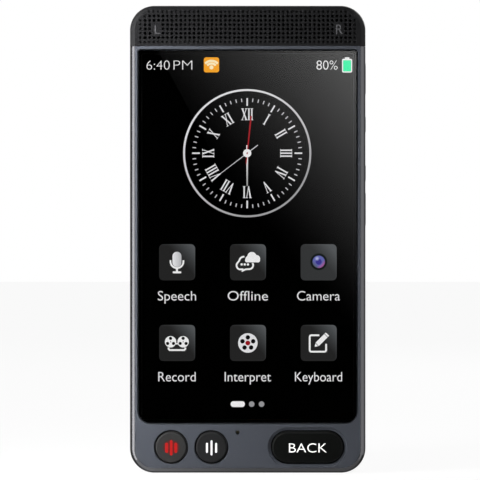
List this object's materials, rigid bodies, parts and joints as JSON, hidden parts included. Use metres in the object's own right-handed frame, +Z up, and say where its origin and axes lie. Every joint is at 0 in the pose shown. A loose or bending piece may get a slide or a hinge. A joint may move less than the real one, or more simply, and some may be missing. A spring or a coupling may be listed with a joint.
{
  "type": "handheld translator",
  "caption": "Flat pocket translator with a tall touch display, a perforated speaker cap, two round talk buttons, a pill-shaped back button and sprung side keys.",
  "frame": {"origin": "middle of the bottom edge, at half the body's thickness", "axes": "+X to the right seen from the front, -Y out of the display, +Z up the body"},
  "size_m": [0.0582, 0.013, 0.115],
  "materials": {
    "slate_frame": "satin anodised",
    "black_cap": "fine matt moulded",
    "slate_cover": "soft-touch matt",
    "black_screw": "black oxide",
    "steel": "plain",
    "ring": "turned and anodised",
    "camera_glass": "coated",
    "flash_lens": "clear, faceted",
    "cover_glass": "polished",
    "black_film": "printed",
    "black_seal": "adhesive foam",
    "display": "polarised",
    "reflector": "white",
    "amber_flex": "polyimide",
    "board": "solder resist",
    "chip": "moulded",
    "connector": "moulded",
    "cell": "foil pouch",
    "diaphragm": "pressed",
    "contact": "spring",
    "acoustic_cloth": "woven",
    "sensor_can": "plated",
    "led": "phosphor",
    "talk_button": "satin",
    "back_button": "satin",
    "red_mark": "translucent",
    "white_mark": "translucent",
    "plunger": "moulded",
    "pad": "silicone",
    "switch": "moulded"
  },
  "bodies": {
    "case": {"front_frame": "slate_frame", "speaker_cap": "black_cap", "rear_cover": "slate_cover", "case_screws": "black_screw", "cap_screws": "steel", "camera_ring": "ring", "camera_window": "camera_glass", "flash_lens": "flash_lens", "cover_glass": "cover_glass", "mask_film": "black_film", "glass_gasket": "black_seal", "lcd_panel": "display", "backlight_unit": "reflector", "display_foam": "black_seal", "display_flex": "amber_flex", "mid_plate": "steel", "plate_screws": "steel", "main_board": "board", "lower_board": "board", "board_screws": "steel", "processor": "chip", "memory_chip": "chip", "shield_can": "steel", "board_connectors": "connector", "usb_socket": "steel", "usb_tongue": "chip", "link_flex": "amber_flex", "battery": "cell", "battery_lead": "amber_flex", "left_speaker": "chip", "right_speaker": "chip", "speaker_diaphragms": "diaphragm", "speaker_gaskets": "black_seal", "speaker_contacts": "contact", "grille_mesh": "acoustic_cloth", "microphones": "sensor_can", "mic_boot": "black_seal", "camera_module": "chip", "flash_led": "led", "wifi_antenna": "amber_flex", "button_pad": "pad", "front_switches": "switch", "rocker_pin": "steel", "side_switches": "switch", "side_key_board": "amber_flex", "side_key_bracket": "steel"},
    "red_talk": {"red_talk_button": "talk_button", "red_button_mark": "red_mark", "red_plunger": "plunger"},
    "white_talk": {"white_talk_button": "talk_button", "white_button_mark": "white_mark", "white_plunger": "plunger"},
    "back": {"back_button": "back_button", "back_plunger": "plunger"},
    "power": {"power_key": "slate_frame", "power_plunger": "plunger"},
    "volume": {"volume_rocker": "slate_frame", "rocker_plungers": "plunger"},
    "camera": {"camera_key": "slate_frame", "camera_plunger": "plunger"}
  },
  "joints": [
    {"name": "red_talk_press", "type": "slide", "parent": "case", "child": "red_talk", "axis": [0, 1, 0], "range_m": [0, 0.0003], "stiffness_N_per_m": 500},
    {"name": "white_talk_press", "type": "slide", "parent": "case", "child": "white_talk", "axis": [0, 1, 0], "range_m": [0, 0.0003], "stiffness_N_per_m": 500},
    {"name": "back_press", "type": "slide", "parent": "case", "child": "back", "axis": [0, 1, 0], "range_m": [0, 0.0003], "stiffness_N_per_m": 500},
    {"name": "power_press", "type": "slide", "parent": "case", "child": "power", "axis": [-1, 0, 0], "range_m": [0, 0.0002], "stiffness_N_per_m": 500},
    {"name": "camera_press", "type": "slide", "parent": "case", "child": "camera", "axis": [-1, 0, 0], "range_m": [0, 0.0002], "stiffness_N_per_m": 500},
    {"name": "volume_rock", "type": "hinge", "parent": "case", "child": "volume", "pos_m": [0.02555, -0.0001, 0.0799], "axis": [0, 1, 0], "range_deg": [-1.4, 1.4], "stiffness_Nm_per_rad": 0.05}
  ]
}
